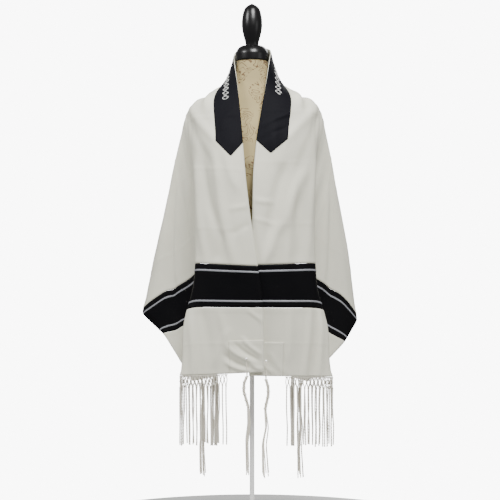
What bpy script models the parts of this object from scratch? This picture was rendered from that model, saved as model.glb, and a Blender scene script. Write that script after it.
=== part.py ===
"""A prayer shawl draped on a limbless dress form. Metres, +Z up, the front faces -Y."""

import math
from collections import namedtuple

import bmesh
import bpy
import numpy as np
from mathutils import Vector

# The shawl, laid flat: u runs from the centre back to the hem, negative on the wearer's right half,
# and v runs across the width from the neck and front edge to the long lower edge.
HALF_LENGTH = 1.02
WIDTH = 0.56
CLOTH = 0.0016
TRIM = 0.0012
SEAM_GAP = 0.0003
LAY_GAP = 0.0005
BAND_START = 0.69
BAND_END = 0.82
RIBBON_WIDTH = 0.007
RIBBON_FROM_EDGE = 0.016
SHOULDER_U = 0.21
SHOULDER_V = 0.18
SOFTNESS = 0.022
SHOULDER_SOFTNESS = 0.014
SHOULDER_ROUND = 0.17
MIDWAY = 0.6
FLARE_FORWARD = 0.6

# The neckband and the corner patches.
NECKBAND_SIDE = 0.332
NECKBAND_TIP = 0.372
NECKBAND_WIDTH = 0.085
PATCH = 0.10
EYELET_U = HALF_LENGTH - 0.045
EYELET_V = 0.05
EYELET_RADIUS = 0.005
EYELET_CUT = 0.016

# The knotted fringe, down from the hem.
FRINGE_START = 0.108
FRINGE_END = 0.452
FRINGE_COLUMNS = 28
FRINGE_GAP = 0.0006
FRINGE_THICK = 0.0016
FRINGE_HALF_BAR = 0.0011
HEADER_DROP = 0.004
CROSSING_DROP = 0.018
KNOT_DROP = 0.034
STRAND_DROP = 0.198
STRAND_UNEVEN = 0.004
STRAND_SWING_X = 0.0022
STRAND_SWING_Y = 0.0018

EdgeRow = namedtuple("EdgeRow", "u x y z")
FoldRow = namedtuple("FoldRow", "angle mid_x mid_y mid_z rim_x rim_y rim_z flare")
BackRow = namedtuple("BackRow", "u top_x top_y top_z mid_x mid_y mid_z rim_x rim_y rim_z")
BulgeRow = namedtuple("BulgeRow", "u forward")
SectionRow = namedtuple("SectionRow", "z half_width half_depth centre_x centre_y")
TurnRow = namedtuple("TurnRow", "radius z")

# Neck and front edge, outwards from the middle plane, a row per turn of the edge.
EDGE_NEAR = [
    EdgeRow(0.00, 0.000, 0.066, 1.458),
    EdgeRow(0.04, 0.040, 0.050, 1.456),
    EdgeRow(0.08, 0.0555, 0.008, 1.428),
    EdgeRow(0.12, 0.0505, -0.036, 1.398),
    EdgeRow(0.18, 0.042, -0.070, 1.334),
    EdgeRow(0.25, 0.034, -0.098, 1.253),
    EdgeRow(0.33, 0.027, -0.124, 1.165),
    EdgeRow(0.43, 0.018, -0.138, 1.061),
    EdgeRow(0.52, 0.0075, -0.142, 0.971),
    EdgeRow(0.68, -0.0157, -0.144, 0.819),
    EdgeRow(0.82, -0.0325, -0.142, 0.692),
    EdgeRow(1.02, -0.0345, -0.136, 0.508),
]
EDGE_FAR = [
    EdgeRow(0.00, 0.000, 0.066, 1.458),
    EdgeRow(0.04, 0.040, 0.050, 1.459),
    EdgeRow(0.08, 0.0565, 0.012, 1.446),
    EdgeRow(0.12, 0.0510, -0.032, 1.415),
    EdgeRow(0.18, 0.040, -0.068, 1.338),
    EdgeRow(0.25, 0.026, -0.096, 1.254),
    EdgeRow(0.33, 0.0125, -0.118, 1.172),
    EdgeRow(0.43, 0.003, -0.129, 1.075),
    EdgeRow(0.52, 0.001, -0.133, 0.985),
    EdgeRow(0.68, -0.003, -0.134, 0.822),
    EdgeRow(0.82, -0.006, -0.132, 0.692),
    EdgeRow(1.02, -0.009, -0.126, 0.496),
]

# Folds that fan out below the shoulder point, by angle in the flat cloth from its length:
# where the fold passes midway, where it ends at the cloth's edge, and how far it flares out between.
FOLDS_NEAR = [
    FoldRow(0.0, 0.160, -0.088, 0.812, 0.142, -0.106, 0.497, 0.000),
    FoldRow(1.4, 0.170, -0.082, 0.811, 0.163, -0.105, 0.497, 0.000),
    FoldRow(3.5, 0.165, -0.064, 0.806, 0.192, -0.103, 0.495, 0.010),
    FoldRow(5.5, 0.159, -0.046, 0.800, 0.217, -0.097, 0.494, 0.028),
    FoldRow(10.0, 0.150, -0.010, 0.795, 0.150, -0.070, 0.490, 0.004),
    FoldRow(14.0, 0.162, 0.018, 0.785, 0.095, -0.046, 0.488, 0.000),
    FoldRow(19.0, 0.182, 0.036, 0.765, 0.118, -0.016, 0.482, 0.000),
    FoldRow(25.1, 0.226, 0.060, 0.738, 0.176, 0.006, 0.468, 0.000),
    FoldRow(31.6, 0.248, 0.064, 0.850, 0.263, 0.062, 0.602, 0.000),
    FoldRow(37.2, 0.284, 0.064, 0.905, 0.332, 0.098, 0.663, 0.000),
    FoldRow(40.2, 0.280, 0.074, 0.922, 0.328, 0.134, 0.686, 0.000),
    FoldRow(46.5, 0.246, 0.094, 0.950, 0.272, 0.176, 0.735, 0.000),
    FoldRow(57.7, 0.222, 0.074, 0.990, 0.236, 0.102, 0.800, 0.000),
    FoldRow(72.5, 0.188, 0.090, 1.026, 0.182, 0.158, 0.857, 0.000),
    FoldRow(90.0, 0.158, 0.088, 1.053, 0.132, 0.122, 0.900, 0.000),
]
FOLDS_FAR = [
    FoldRow(0.0, 0.178, -0.084, 0.812, 0.166, -0.100, 0.492, 0.000),
    FoldRow(1.4, 0.187, -0.078, 0.811, 0.187, -0.098, 0.492, 0.000),
    FoldRow(3.5, 0.183, -0.060, 0.806, 0.216, -0.095, 0.491, 0.010),
    FoldRow(5.5, 0.176, -0.044, 0.800, 0.242, -0.087, 0.490, 0.028),
    FoldRow(10.0, 0.156, -0.014, 0.795, 0.175, -0.064, 0.487, 0.004),
    FoldRow(14.0, 0.160, 0.018, 0.785, 0.112, -0.046, 0.485, 0.000),
    FoldRow(19.0, 0.184, 0.040, 0.768, 0.122, -0.012, 0.480, 0.000),
    FoldRow(25.1, 0.222, 0.062, 0.744, 0.165, 0.012, 0.466, 0.000),
    FoldRow(31.6, 0.252, 0.066, 0.850, 0.276, 0.058, 0.578, 0.000),
    FoldRow(37.2, 0.283, 0.072, 0.905, 0.318, 0.092, 0.644, 0.000),
    FoldRow(40.2, 0.280, 0.084, 0.922, 0.316, 0.130, 0.668, 0.000),
    FoldRow(46.5, 0.254, 0.102, 0.948, 0.284, 0.172, 0.716, 0.000),
    FoldRow(57.7, 0.228, 0.078, 0.990, 0.246, 0.106, 0.790, 0.000),
    FoldRow(72.5, 0.194, 0.092, 1.028, 0.188, 0.158, 0.852, 0.000),
    FoldRow(90.0, 0.162, 0.090, 1.055, 0.136, 0.124, 0.900, 0.000),
]
SHOULDER_NEAR = (0.197, 0.000, 1.292)
SHOULDER_FAR = (0.208, 0.000, 1.299)

# The back, from the centre line out to the shoulder point.
BACK = [
    BackRow(0.00, 0.000, 0.122, 1.284, 0.000, 0.139, 1.058, 0.000, 0.130, 0.910),
    BackRow(0.07, 0.075, 0.112, 1.288, 0.062, 0.143, 1.057, 0.056, 0.144, 0.909),
    BackRow(0.14, 0.142, 0.070, 1.290, 0.118, 0.121, 1.055, 0.100, 0.132, 0.905),
]

# How far the cloth between neck edge and shoulder line stands forward of a straight line.
BULGE = [
    BulgeRow(0.00, -0.012),
    BulgeRow(0.12, 0.000),
    BulgeRow(0.22, 0.022),
    BulgeRow(0.34, 0.040),
    BulgeRow(0.50, 0.026),
    BulgeRow(0.70, 0.014),
    BulgeRow(0.85, 0.006),
    BulgeRow(1.02, 0.004),
]

# The limbless form and its stand.
TORSO = [
    SectionRow(0.700, 0.118, 0.088, 0.000, 0.000),
    SectionRow(0.720, 0.126, 0.094, 0.000, 0.000),
    SectionRow(0.800, 0.130, 0.094, 0.000, 0.000),
    SectionRow(0.880, 0.122, 0.088, 0.000, 0.000),
    SectionRow(0.960, 0.114, 0.086, 0.000, 0.000),
    SectionRow(1.040, 0.126, 0.100, 0.000, -0.006),
    SectionRow(1.110, 0.146, 0.112, 0.000, -0.008),
    SectionRow(1.170, 0.160, 0.108, 0.002, -0.004),
    SectionRow(1.215, 0.170, 0.098, 0.004, 0.000),
    SectionRow(1.245, 0.170, 0.086, 0.004, 0.004),
    SectionRow(1.270, 0.159, 0.077, 0.005, 0.006),
    SectionRow(1.285, 0.147, 0.072, 0.005, 0.006),
    SectionRow(1.300, 0.141, 0.068, 0.0045, 0.006),
    SectionRow(1.315, 0.1166, 0.062, 0.004, 0.005),
    SectionRow(1.330, 0.090, 0.056, 0.003, 0.004),
    SectionRow(1.350, 0.066, 0.050, 0.002, 0.002),
    SectionRow(1.380, 0.050, 0.047, 0.001, 0.000),
    SectionRow(1.412, 0.0455, 0.0455, 0.000, 0.000),
]
TORSO_SIDES = 22
CAP_PROFILE = [
    TurnRow(0.0465, 1.4124),
    TurnRow(0.0487, 1.4145),
    TurnRow(0.0487, 1.4330),
    TurnRow(0.0465, 1.4365),
    TurnRow(0.0405, 1.4380),
    TurnRow(0.0405, 1.4480),
    TurnRow(0.0350, 1.4555),
    TurnRow(0.0220, 1.4580),
]
FINIAL_PROFILE = [
    TurnRow(0.0190, 1.4583),
    TurnRow(0.0190, 1.4660),
    TurnRow(0.0235, 1.4760),
    TurnRow(0.0300, 1.4950),
    TurnRow(0.0317, 1.5110),
    TurnRow(0.0300, 1.5330),
    TurnRow(0.0240, 1.5560),
    TurnRow(0.0150, 1.5740),
    TurnRow(0.0060, 1.5820),
]
POLE_PROFILE = [
    TurnRow(0.0070, 0.0203),
    TurnRow(0.0070, 0.6860),
    TurnRow(0.0450, 0.6910),
    TurnRow(0.0450, 0.6997),
]
BASE_PROFILE = [
    TurnRow(0.1680, 0.0000),
    TurnRow(0.1700, 0.0030),
    TurnRow(0.1660, 0.0080),
    TurnRow(0.0350, 0.0110),
    TurnRow(0.0220, 0.0200),
]

# Corner tassels: the cord through the eyelet, the wound stem, the loose strands.
TASSEL_CORD = 0.0014
HEM_CLEARANCE = 0.002
LOOP_TURN = 0.06
LOOP_GAP = 0.0006
STEM_START = 0.009
STEM_LENGTH = 0.085
STEM_SIDES = 6
STEM_KNOTS = 5
STEM_RADIUS = 0.0028
KNOT_RADIUS = 0.0048
STRAND_RADIUS = 0.0009
TASSEL_STRANDS = 8
TASSEL_STRAND_LENGTH = 0.19
TASSEL_SPREAD = 0.012
STRAND_ROOT = 0.003


def column(rows, name):
    return np.array([getattr(row, name) for row in rows])


def along(rows, key, names, at):
    """Reads three columns of a table at the given values of its key column."""
    keys = column(rows, key)
    return np.stack([np.interp(at, keys, column(rows, name)) for name in names], axis=-1)


def through(start, middle, end, t):
    """A smooth line from start at 0 past middle at MIDWAY to end at 1."""
    t = t[..., None]
    first = (1 - t) * (MIDWAY - t) / MIDWAY
    second = t * (1 - t) / (MIDWAY * (1 - MIDWAY))
    third = t * (t - MIDWAY) / (1 - MIDWAY)
    return first * start + second * middle + third * end


def fan(folds, shoulder, angle, reach):
    """The part of the cloth that hangs from the shoulder point."""
    wide = np.radians(np.clip(angle, 0.001, 89.999))
    to_edge = np.minimum((HALF_LENGTH - SHOULDER_U) / np.cos(wide), (WIDTH - SHOULDER_V) / np.sin(wide))
    middle = along(folds, "angle", ("mid_x", "mid_y", "mid_z"), angle)
    end = along(folds, "angle", ("rim_x", "rim_y", "rim_z"), angle)
    share = reach / to_edge
    place = through(np.array(shoulder), middle, end, share)
    flare = np.interp(angle, column(folds, "angle"), column(folds, "flare"))
    flare = flare * np.sin(math.pi * (np.clip(share, MIDWAY, 1.0) - MIDWAY) / (1 - MIDWAY)) ** 2
    place[..., 0] += flare
    place[..., 1] -= FLARE_FORWARD * flare
    return place


def half_cloth(u, v, edge, folds, shoulder):
    """One half of the draped cloth, u counted from the centre back, x outwards."""
    last = folds[-1]
    shoulder_row = BackRow(SHOULDER_U, *shoulder, *last[1:7])
    back = BACK + [shoulder_row]
    top = along(back, "u", ("top_x", "top_y", "top_z"), u)
    front_line = fan(folds, shoulder, np.zeros_like(u), np.maximum(u - SHOULDER_U, 0.0))
    line = np.where((u < SHOULDER_U)[..., None], top, front_line)
    neck = along(edge, "u", ("x", "y", "z"), u)
    share = np.clip(v / SHOULDER_V, 0.0, 1.0)[..., None]
    yoke = neck * (1 - share) + line * share
    forward = np.interp(u, column(BULGE, "u"), column(BULGE, "forward"))
    yoke[..., 1] -= 4 * share[..., 0] * (1 - share[..., 0]) * forward
    out, down = u - SHOULDER_U, v - SHOULDER_V
    angle = np.degrees(np.arctan2(np.maximum(down, 0.0), np.maximum(out, 1e-9)))
    cascade = fan(folds, shoulder, angle, np.hypot(np.maximum(out, 0.0), np.maximum(down, 0.0)))
    middle = along(back, "u", ("mid_x", "mid_y", "mid_z"), u)
    end = along(back, "u", ("rim_x", "rim_y", "rim_z"), u)
    behind = through(top, middle, end, np.clip(down / (WIDTH - SHOULDER_V), 0.0, 1.0))
    lower = np.where((out < 0)[..., None], behind, cascade)
    return np.where((down < 0)[..., None], yoke, lower)


def sharp_cloth(u, v):
    near = half_cloth(np.abs(u), v, EDGE_NEAR, FOLDS_NEAR, SHOULDER_NEAR)
    near[..., 0] *= -1
    far = half_cloth(np.abs(u), v, EDGE_FAR, FOLDS_FAR, SHOULDER_FAR)
    return np.where((u < 0)[..., None], near, far)


def cloth(u, v):
    """The draped cloth's middle surface, with every fold rounded softly."""
    u, v = np.broadcast_arrays(np.asarray(u, float), np.asarray(v, float))
    from_shoulder = np.hypot(np.abs(u) - SHOULDER_U, v - SHOULDER_V)
    soft = SOFTNESS + SHOULDER_SOFTNESS * np.exp(-((from_shoulder / SHOULDER_ROUND) ** 2))
    reach_u = np.minimum(soft, HALF_LENGTH - np.abs(u))
    reach_v = np.minimum(soft, np.minimum(v, WIDTH - v))
    steps = (-1.0, -0.5, 0.0, 0.5, 1.0)
    weights = (1.0, 2.0, 3.0, 2.0, 1.0)
    total = 0.0
    for step_u, weight_u in zip(steps, weights):
        for step_v, weight_v in zip(steps, weights):
            total = total + weight_u * weight_v * sharp_cloth(u + step_u * reach_u, v + step_v * reach_v)
    return total / sum(weights) ** 2


def outward(u, v):
    """Unit direction away from the wearer's body."""
    u, v = np.broadcast_arrays(np.asarray(u, float), np.asarray(v, float))
    step = 0.005
    low_u, high_u = np.maximum(u - step, -HALF_LENGTH), np.minimum(u + step, HALF_LENGTH)
    low_v, high_v = np.maximum(v - step, 0.0), np.minimum(v + step, WIDTH)
    across = np.cross(cloth(high_u, v) - cloth(low_u, v), cloth(u, high_v) - cloth(u, low_v))
    return across / np.linalg.norm(across, axis=-1, keepdims=True)


def stations(*stops):
    """Splits each stretch between stops (value, parts) evenly."""
    values = [stops[0][0]]
    for (start, _), (end, parts) in zip(stops, stops[1:]):
        values.extend(start + (end - start) * (i + 1) / parts for i in range(parts))
    return np.array(values)


ACROSS = stations(
    (0.0, 0),
    (NECKBAND_WIDTH, 2),
    (PATCH, 1),
    (SHOULDER_V, 3),
    (WIDTH - PATCH, 13),
    (WIDTH, 4),
)
ALONG_HALF = stations((0.0, 0), (NECKBAND_SIDE, 15), (NECKBAND_TIP, 1), (BAND_START, 15))
UPPER_RIBBON = BAND_START + RIBBON_FROM_EDGE
LOWER_RIBBON = BAND_END - RIBBON_FROM_EDGE - RIBBON_WIDTH
ALONG_BAND = stations(
    (BAND_START, 0),
    (UPPER_RIBBON, 1),
    (UPPER_RIBBON + RIBBON_WIDTH, 1),
    (LOWER_RIBBON, 3),
    (LOWER_RIBBON + RIBBON_WIDTH, 1),
    (BAND_END, 1),
)
ALONG_END = stations((BAND_END, 0), (HALF_LENGTH - PATCH, 4), (HALF_LENGTH, 3))


def fresh_scene():
    for thing in list(bpy.data.objects):
        bpy.data.objects.remove(thing, do_unlink=True)
    parts = bpy.data.collections.new("draped_prayer_shawl")
    cutters = bpy.data.collections.new("cutters")
    bpy.context.scene.collection.children.link(parts)
    bpy.context.scene.collection.children.link(cutters)
    return parts, cutters


PARTS, CUTTERS = fresh_scene()


def principled(name, colour, roughness):
    material = bpy.data.materials.new(name)
    material.use_nodes = True
    shader = material.node_tree.nodes["Principled BSDF"]
    shader.inputs["Base Color"].default_value = (*colour, 1.0)
    shader.inputs["Roughness"].default_value = roughness
    return material


def mesh_object(name, points, faces, colour, roughness=0.8, smooth=True):
    mesh = bpy.data.meshes.new(name)
    mesh.from_pydata([tuple(map(float, p)) for p in points], [], [tuple(map(int, f)) for f in faces])
    mesh.validate()
    shape = bmesh.new()
    shape.from_mesh(mesh)
    bmesh.ops.recalc_face_normals(shape, faces=shape.faces)
    shape.to_mesh(mesh)
    shape.free()
    thing = bpy.data.objects.new(name, mesh)
    PARTS.objects.link(thing)
    mesh.materials.append(principled(name + "_material", colour, roughness))
    if smooth:
        mesh.polygons.foreach_set("use_smooth", [True] * len(mesh.polygons))
    return thing


def walled(outer, inner, faces):
    """Closes two matching layers of points into one body; facing seams slant the same way."""
    count = len(outer)
    solid = [tuple(f) for f in faces] + [tuple(count + i for i in reversed(f)) for f in faces]
    used = {}
    for face in faces:
        for a, b in zip(face, face[1:] + face[:1]):
            used[(a, b)] = True
    for a, b in used:
        if (b, a) not in used and a < b:
            solid.extend([(b, a, count + b), (a, count + a, count + b)])
        elif (b, a) not in used:
            solid.extend([(b, a, count + a), (b, count + a, count + b)])
    return np.vstack([outer, inner]), solid


def grid_faces(us, vs):
    """Triangles over a grid, slanted along the folds, and along the points of the neckband."""
    faces = []
    columns = len(vs)
    for i in range(len(us) - 1):
        for j in range(columns - 1):
            a = i * columns + j
            b, c, d = a + columns, a + columns + 1, a + 1
            middle_v = (vs[j] + vs[j + 1]) / 2
            lower_half_of_neckband = NECKBAND_WIDTH / 2 < middle_v < NECKBAND_WIDTH
            if (us[i] + us[i + 1] > 0) != lower_half_of_neckband:
                faces.extend([(a, b, c), (a, c, d)])
            else:
                faces.extend([(a, b, d), (b, c, d)])
    return faces


def cloth_piece(name, u, v, layer, raised, thick, colour):
    """A piece of the cloth over flat positions, raised off the middle surface."""
    middle = cloth(u, v)
    away = outward(u, v)
    points, faces = walled(middle + away * (raised + thick), middle + away * raised, layer)
    return mesh_object(name, points, faces, colour)


def panel(name, us, vs, raised=-CLOTH / 2, thick=CLOTH, colour=(0.85, 0.84, 0.80)):
    u, v = np.meshgrid(us, vs, indexing="ij")
    return cloth_piece(name, u.ravel(), v.ravel(), grid_faces(us, vs), raised, thick, colour)


def inset(values, low, high):
    """Draws the first and last stations in from a seam."""
    values = values.copy()
    values[0] += low
    values[-1] -= high
    return values


WHITE = (0.85, 0.84, 0.80)
BLACK = (0.012, 0.012, 0.014)
NAVY = (0.012, 0.014, 0.030)
SILVER = (0.62, 0.62, 0.62)
ON_TOP = CLOTH / 2 + LAY_GAP

main_us = np.concatenate([-ALONG_HALF[:0:-1], ALONG_HALF])
panel("main_cloth", inset(main_us, SEAM_GAP / 2, SEAM_GAP / 2), ACROSS)
EYELETS = {}
for side, sign in (("left", -1.0), ("right", 1.0)):
    band_us = inset(ALONG_BAND, SEAM_GAP / 2, SEAM_GAP / 2) * sign
    end_us = inset(ALONG_END, SEAM_GAP / 2, 0.0) * sign
    panel("band_" + side, band_us[::int(sign)], ACROSS, colour=BLACK)
    end = panel("end_" + side, end_us[::int(sign)], ACROSS)
    for edge_name, start in (("upper", UPPER_RIBBON), ("lower", LOWER_RIBBON)):
        ribbon = np.array([start, start + RIBBON_WIDTH]) * sign
        panel("ribbon_" + edge_name + "_" + side, ribbon[::int(sign)], ACROSS, ON_TOP, TRIM, SILVER)
    patch_us = ALONG_END[ALONG_END >= HALF_LENGTH - PATCH - 1e-9] * sign
    for place, low, high in (("front", 0.0, PATCH), ("back", WIDTH - PATCH, WIDTH)):
        patch_vs = ACROSS[(ACROSS >= low - 1e-9) & (ACROSS <= high + 1e-9)]
        patch = panel("patch_" + place + "_" + side, patch_us[::int(sign)], patch_vs, ON_TOP, TRIM)
        eyelet_v = EYELET_V if place == "front" else WIDTH - EYELET_V
        EYELETS[(side, place)] = (sign * EYELET_U, eyelet_v)
        centre = cloth(sign * EYELET_U, eyelet_v)
        facing = Vector(outward(sign * EYELET_U, eyelet_v))
        bpy.ops.mesh.primitive_cylinder_add(
            vertices=8, radius=EYELET_RADIUS, depth=EYELET_CUT, location=centre
        )
        punch = bpy.context.object
        punch.name = "eyelet_punch_" + place + "_" + side
        punch.rotation_euler = facing.to_track_quat("Z", "Y").to_euler()
        for holder in list(punch.users_collection):
            holder.objects.unlink(punch)
        CUTTERS.objects.link(punch)
        punch.hide_render = True
        punch.display_type = "WIRE"
        for target in (end, patch):
            cut = target.modifiers.new("eyelet_" + place, "BOOLEAN")
            cut.operation = "DIFFERENCE"
            cut.solver = "EXACT"
            cut.object = punch

# The neckband follows the neck edge and ends in two points on the chest.
neckband_us = main_us[np.abs(main_us) <= NECKBAND_SIDE + 1e-9]
neckband_vs = ACROSS[ACROSS <= NECKBAND_WIDTH + 1e-9]
band_u, band_v = np.meshgrid(neckband_us, neckband_vs, indexing="ij")
layer = grid_faces(neckband_us, neckband_vs)
near_tip, far_tip = band_u.size, band_u.size + 1
for j in range(len(neckband_vs) - 1):
    last = band_u.size - len(neckband_vs) + j
    layer.append((j, j + 1, near_tip))
    layer.append((last + 1, last, far_tip))
flat_u = np.append(band_u.ravel(), [-NECKBAND_TIP, NECKBAND_TIP])
flat_v = np.append(band_v.ravel(), [NECKBAND_WIDTH / 2] * 2)
cloth_piece("neckband", flat_u, flat_v, layer, ON_TOP, TRIM, NAVY)


def fringe(name, sign, colour=WHITE):
    """A header strip, crossed threads fused at their knots, and hanging strands, in one layer."""
    layout, faces = [], []

    def corner(across, drop, strand=-1):
        layout.append((across, drop, strand))
        return len(layout) - 1

    pitch = (FRINGE_END - FRINGE_START) / FRINGE_COLUMNS
    bar = FRINGE_HALF_BAR
    centres = [FRINGE_START + pitch * (i + 0.5) for i in range(FRINGE_COLUMNS)]
    tops, knots = [], []
    for centre in centres:
        header = [corner(centre + shift, HEADER_DROP) for shift in (-bar, 0.0, bar)]
        tops.append([corner(centre, FRINGE_GAP), *header])
    for centre in centres:
        peak = corner(centre, KNOT_DROP - bar)
        knots.append((corner(centre - bar, KNOT_DROP), peak, corner(centre + bar, KNOT_DROP)))
    for i in range(FRINGE_COLUMNS - 1):
        here, there = tops[i], tops[i + 1]
        faces.append((here[0], here[2], here[3], there[1], there[2], there[0]))
        middle = centres[i] + pitch / 2
        left = corner(middle - bar, CROSSING_DROP)
        top = corner(middle, CROSSING_DROP - bar)
        right = corner(middle + bar, CROSSING_DROP)
        bottom = corner(middle, CROSSING_DROP + bar)
        faces.append((left, bottom, right, top))
        faces.append((here[2], left, top, here[3]))
        faces.append((top, right, there[2], there[1]))
        faces.append((knots[i][1], knots[i][2], bottom, left))
        faces.append((bottom, knots[i + 1][0], knots[i + 1][1], right))
    for i, (left, top, right) in enumerate(knots):
        faces.append((left, right, top))
        reach = STRAND_DROP + STRAND_UNEVEN * math.sin(2.1 * i)
        low_left, low_right = corner(centres[i] - bar, reach, i), corner(centres[i] + bar, reach, i)
        faces.append((left, low_left, low_right, right))
    layout = np.array(layout)
    across, drop, strand = layout.T
    line = cloth(sign * HALF_LENGTH, ACROSS)
    facing = outward(sign * HALF_LENGTH, ACROSS)
    hem = np.stack([np.interp(across, ACROSS, line[:, k]) for k in range(3)], axis=-1)
    away = np.stack([np.interp(across, ACROSS, facing[:, k]) for k in range(3)], axis=-1)
    away[:, 2] = 0.0
    away /= np.linalg.norm(away, axis=1, keepdims=True)
    hem[:, 2] -= drop
    swing = np.where(strand >= 0, drop / STRAND_DROP, 0.0)
    hem[:, 0] += STRAND_SWING_X * swing * np.sin(1.7 * strand)
    hem[:, 1] += STRAND_SWING_Y * swing * np.cos(2.3 * strand)
    half = away * FRINGE_THICK / 2
    points, solid = walled(hem + half, hem - half, faces)
    return mesh_object(name, points, solid, colour)


fringe("fringe_left", -1.0)
fringe("fringe_right", 1.0)


def turned(name, profile, sides, colour, roughness):
    """A solid of revolution, from its profile, closed on the axis."""
    outline = [(0.0, profile[0].z)]
    outline += [(row.radius, row.z) for row in profile]
    outline.append((0.0, profile[-1].z))
    mesh = bpy.data.meshes.new(name)
    edges = [(i, i + 1) for i in range(len(outline) - 1)]
    mesh.from_pydata([(radius, 0.0, z) for radius, z in outline], edges, [])
    mesh.materials.append(principled(name + "_material", colour, roughness))
    thing = bpy.data.objects.new(name, mesh)
    PARTS.objects.link(thing)
    spin = thing.modifiers.new("turned", "SCREW")
    spin.axis = "Z"
    spin.steps = sides
    spin.render_steps = sides
    spin.use_merge_vertices = True
    spin.merge_threshold = 0.0001
    spin.use_normal_flip = True
    return thing


def lofted(name, rings, colour, roughness):
    """A closed body through rings of unlike size."""
    sides = len(rings[0])
    points = [p for ring in rings for p in ring]
    faces = []
    for r in range(len(rings) - 1):
        for k in range(sides):
            a, b = r * sides + k, r * sides + (k + 1) % sides
            faces.append((a, b, b + sides, a + sides))
    faces.append(tuple(reversed(range(sides))))
    faces.append(tuple(range(len(points) - sides, len(points))))
    return mesh_object(name, points, faces, colour, roughness)


def ring_round(centre, half_width, half_depth, sides, turned_by=0.0):
    """A level ellipse of points."""
    points = []
    for k in range(sides):
        turn = 2 * math.pi * (k + turned_by) / sides
        shift = Vector((half_width * math.cos(turn), half_depth * math.sin(turn), 0.0))
        points.append(Vector(centre) + shift)
    return points


torso_rings = []
for row in TORSO:
    centre = (row.centre_x, row.centre_y, row.z)
    torso_rings.append(ring_round(centre, row.half_width, row.half_depth, TORSO_SIDES))
lofted("form_torso", torso_rings, (0.62, 0.55, 0.44), 0.9)
turned("neck_cap", CAP_PROFILE, 28, (0.01, 0.01, 0.01), 0.25)
turned("finial", FINIAL_PROFILE, 20, (0.01, 0.01, 0.01), 0.15)
turned("stand_pole", POLE_PROFILE, 16, (0.80, 0.80, 0.79), 0.4)
turned("stand_base", BASE_PROFILE, 36, (0.80, 0.80, 0.79), 0.4)


def cord(name, path, radius, closed=False):
    """A thin cord along a path of vectors, made to be joined to another body."""
    curve = bpy.data.curves.new(name + "_path", "CURVE")
    curve.dimensions = "3D"
    curve.bevel_depth = radius
    curve.bevel_resolution = 0
    curve.use_fill_caps = not closed
    spline = curve.splines.new("POLY")
    spline.points.add(len(path) - 1)
    for point, place in zip(spline.points, path):
        point.co = (*place, 1.0)
    spline.use_cyclic_u = closed
    drawn = bpy.data.objects.new(name + "_path", curve)
    mesh = bpy.data.meshes.new_from_object(drawn)
    bpy.data.objects.remove(drawn)
    shape = bmesh.new()
    shape.from_mesh(mesh)
    bmesh.ops.remove_doubles(shape, verts=shape.verts, dist=0.00001)
    bmesh.ops.recalc_face_normals(shape, faces=shape.faces)
    shape.to_mesh(mesh)
    shape.free()
    thing = bpy.data.objects.new(name, mesh)
    CUTTERS.objects.link(thing)
    thing.hide_render = True
    thing.display_type = "WIRE"
    return thing


def tassel_loop(name, sign, eyelet, stem_top):
    """The cord from the stem up the cloth's outside, through the eyelet and down inside."""
    u, v = eyelet
    hole = Vector(cloth(u, v))
    out = Vector(outward(u, v))
    hem = Vector(cloth(sign * HALF_LENGTH, v))
    flat_out = Vector((out.x, out.y, 0.0)).normalized()
    clear = CLOTH / 2 + TRIM + LAY_GAP + TASSEL_CORD + LOOP_GAP
    lip = hem + Vector((0.0, 0.0, -HEM_CLEARANCE))
    rise = hem - hole
    path = [stem_top + flat_out * HEM_CLEARANCE]
    path.append(lip + flat_out * clear)
    path.append(hole + rise * 0.5 + out * clear)
    path.append(hole + rise * LOOP_TURN + out * clear)
    path.append(hole)
    path.append(hole + rise * LOOP_TURN - out * clear)
    path.append(hole + rise * 0.5 - out * clear)
    path.append(lip - flat_out * clear)
    path.append(stem_top - flat_out * HEM_CLEARANCE)
    return cord(name + "_loop", path, TASSEL_CORD, closed=True)


def tassel(name, sign, eyelet):
    """A wound stem below the hem, with its loop and its loose strands."""
    hem = Vector(cloth(sign * HALF_LENGTH, eyelet[1]))
    down = Vector((0.0, 0.0, -1.0))
    top = hem + down * STEM_START
    rings = []
    for k in range(2 * STEM_KNOTS + 1):
        radius = KNOT_RADIUS if k % 2 == 0 else STEM_RADIUS
        centre = top + down * (STEM_LENGTH * k / (2 * STEM_KNOTS))
        rings.append(ring_round(centre, radius, radius, STEM_SIDES, turned_by=0.5))
    body = lofted(name, rings, WHITE, 0.9)
    foot = top + down * STEM_LENGTH
    pieces = [tassel_loop(name, sign, eyelet, top + down * STRAND_ROOT)]
    for s in range(TASSEL_STRANDS):
        turn = 2 * math.pi * (s + 0.3) / TASSEL_STRANDS
        way = Vector((math.cos(turn), math.sin(turn), 0.0))
        root = foot + way * (KNOT_RADIUS * 0.55)
        length = TASSEL_STRAND_LENGTH * (0.92 + 0.08 * math.sin(3.7 * s + 5 * sign))
        path = [root - down * STRAND_ROOT]
        path.append(root + way * TASSEL_SPREAD * 0.5 + down * length * 0.45)
        path.append(root + way * TASSEL_SPREAD * 0.8 + down * length)
        pieces.append(cord(name + "_strand_" + str(s), path, STRAND_RADIUS))
    for other in pieces:
        join = body.modifiers.new("join_" + other.name, "BOOLEAN")
        join.operation = "UNION"
        join.solver = "EXACT"
        join.object = other


for (side, place), eyelet in EYELETS.items():
    tassel("tassel_" + place + "_" + side, -1.0 if side == "left" else 1.0, eyelet)
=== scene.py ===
import math
from collections import namedtuple

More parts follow.
